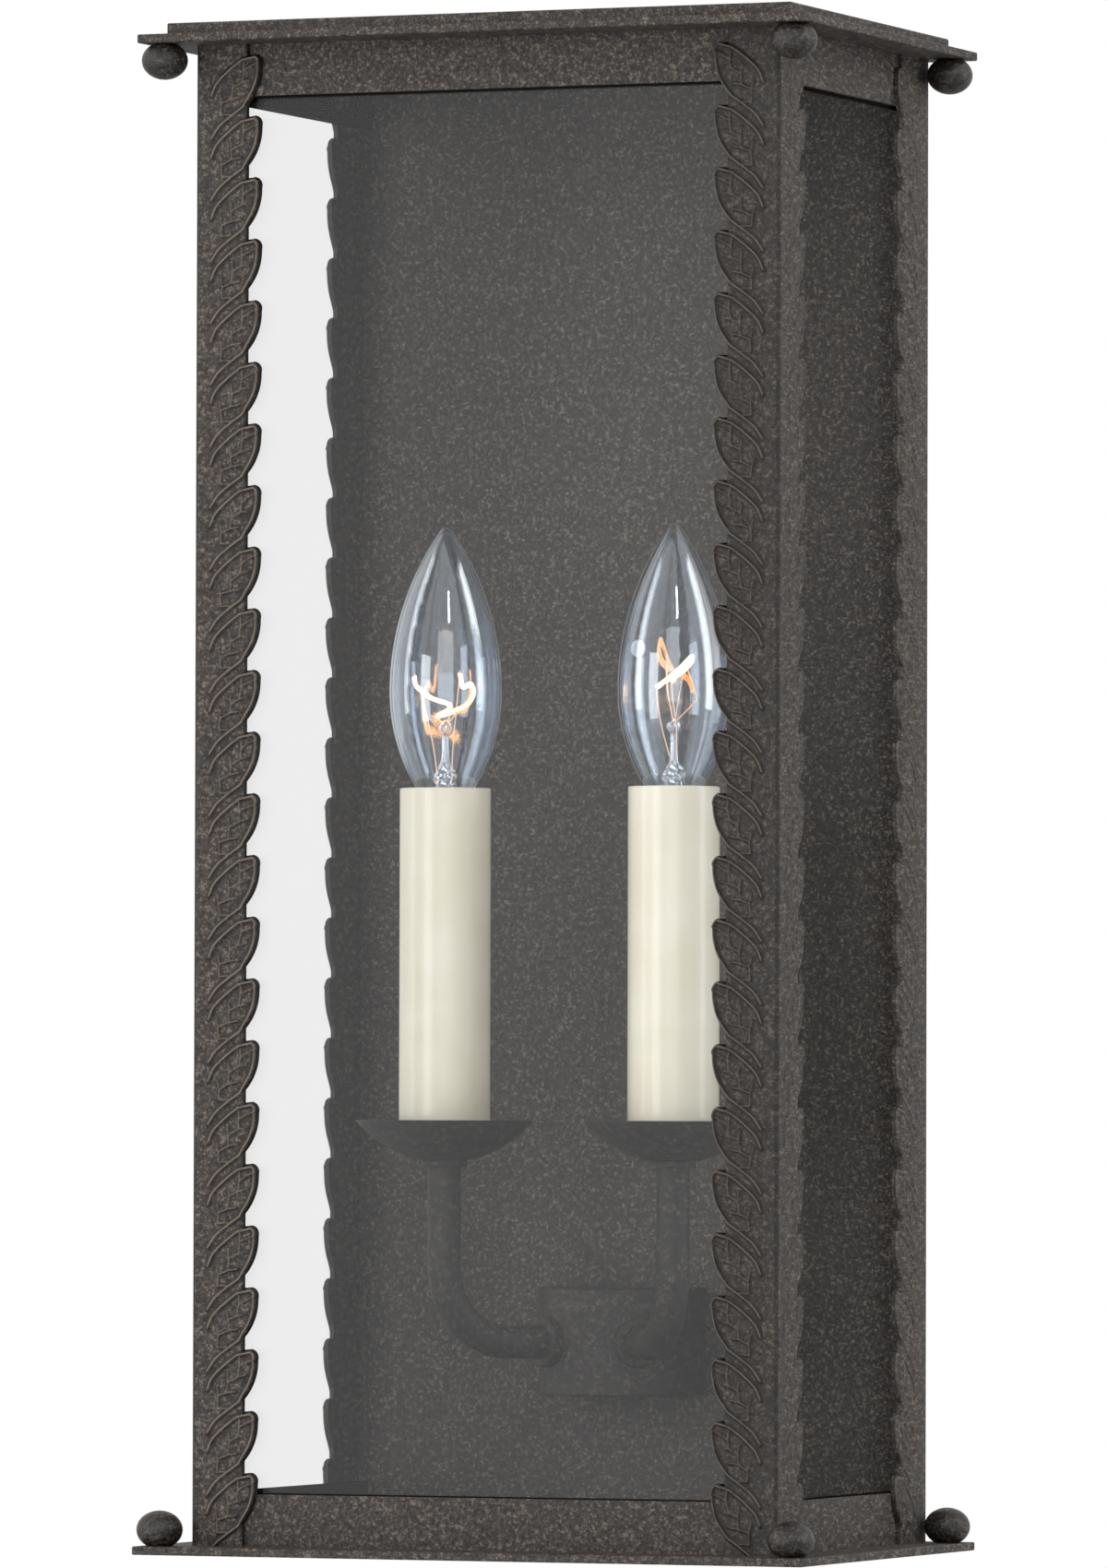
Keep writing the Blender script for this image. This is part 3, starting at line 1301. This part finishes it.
class SCONCE_OT_stage(Operator):
    """Pale floor, white surroundings, soft lamps and the camera"""

    bl_idname = "sconce.stage"
    bl_label = "Stage"

    def floor(self, level):
        """A flat square far below the lantern."""
        span = np.linspace(-FLOOR_SIZE, FLOOR_SIZE, 3)
        x, y = np.meshgrid(span, span, indexing="ij")
        mesh = bpy.data.meshes.new("floor")
        quads = [[first, first + 3, first + 4, first + 1] for first in (0, 1, 3, 4)]
        mesh.from_pydata(np.stack([x, y, 0 * x + level], axis=-1).reshape(-1, 3).tolist(), [], quads)
        mesh.materials.append(floor_paint())
        made = linked("floor", mesh)

    def surroundings(self):
        """White where it is seen directly, in a reflection or through glass, and softer as a light."""
        world = bpy.data.worlds.new("surroundings")
        world.use_nodes = True
        bpy.context.scene.world = world
        tree = Finish(world.node_tree)
        camera, glossy, passing = (
            tree.node("LightPath", out=name)
            for name in ("Is Camera Ray", "Is Glossy Ray", "Is Transmission Ray")
        )
        seen = 1 - (1 - camera) * (1 - glossy) * (1 - passing)
        strength = AMBIENT + (1 - AMBIENT) * seen
        white = tree.node("Background", None, {"Color": (1.0, 1.0, 1.0), "Strength": strength})
        tree.node("OutputWorld", None, {"Surface": white})

    def camera(self):
        """The camera stands back along its azimuth from a point just off the wall."""
        lens = bpy.data.cameras.new("camera")
        lens.lens = CAMERA_LENS
        lens.sensor_width = 36.0
        made = linked("camera", lens)
        forward = np.array((-math.sin(CAMERA_AZIMUTH), math.cos(CAMERA_AZIMUTH), 0.0))
        right = np.array((math.cos(CAMERA_AZIMUTH), math.sin(CAMERA_AZIMUTH), 0.0))
        aim = np.array((0.0, CAMERA_AIM_OUT, 0.0))
        eye = aim - CAMERA_DISTANCE * forward + CAMERA_SIDEWAYS * right + np.array((0, 0, CAMERA_HEIGHT))
        turn = Matrix.Rotation(CAMERA_AZIMUTH, 3, "Z") @ Matrix.Rotation(math.pi / 2 + CAMERA_PITCH, 3, "X")
        turn = turn @ Matrix.Rotation(CAMERA_ROLL, 3, "Z")
        made.matrix_world = Matrix.Translation(eye) @ turn.to_4x4()
        bpy.context.scene.camera = made

    def execute(self, context):
        scene = context.scene
        scene.view_settings.view_transform = "Standard"
        scene.cycles.transparent_max_bounces = 32
        self.floor(cad_box[0][2] - FLOOR_DROP)
        self.surroundings()
        self.camera()
        for lamp in LAMPS:
            softbox(*lamp)
        return {"FINISHED"}


class SCONCE_PT_sidebar(Panel):
    """The sconce's sizes, colours and pieces"""

    bl_label = "Wall Sconce"
    bl_idname = "SCONCE_PT_sidebar"
    bl_space_type = "VIEW_3D"
    bl_region_type = "UI"
    bl_category = "Sconce"

    def draw(self, context):
        for group in (context.scene.sconce_sizes, context.scene.sconce_colours):
            for name in group.__annotations__:
                self.layout.prop(group, name)
        for operator in OPERATORS:
            self.layout.operator(operator.bl_idname)


OPERATORS = (
    SCONCE_OT_sheetwork,
    SCONCE_OT_posts,
    SCONCE_OT_balls,
    SCONCE_OT_hub,
    SCONCE_OT_arms,
    SCONCE_OT_pans,
    SCONCE_OT_sleeves,
    SCONCE_OT_bulbs,
    SCONCE_OT_glazing,
    SCONCE_OT_fittings,
    SCONCE_OT_stage,
)
CLASSES = (SconceSizes, SconceColours, *OPERATORS, SCONCE_PT_sidebar)


def register():
    for group in CLASSES:
        bpy.utils.register_class(group)
    bpy.types.Scene.sconce_sizes = PointerProperty(type=SconceSizes)
    bpy.types.Scene.sconce_colours = PointerProperty(type=SconceColours)


def unregister():
    del bpy.types.Scene.sconce_colours
    del bpy.types.Scene.sconce_sizes
    for group in reversed(CLASSES):
        bpy.utils.unregister_class(group)


def main():
    register()
    for operator in OPERATORS:
        getattr(bpy.ops.sconce, operator.bl_idname.split(".")[1])()


if __name__ == "__main__":
    main()
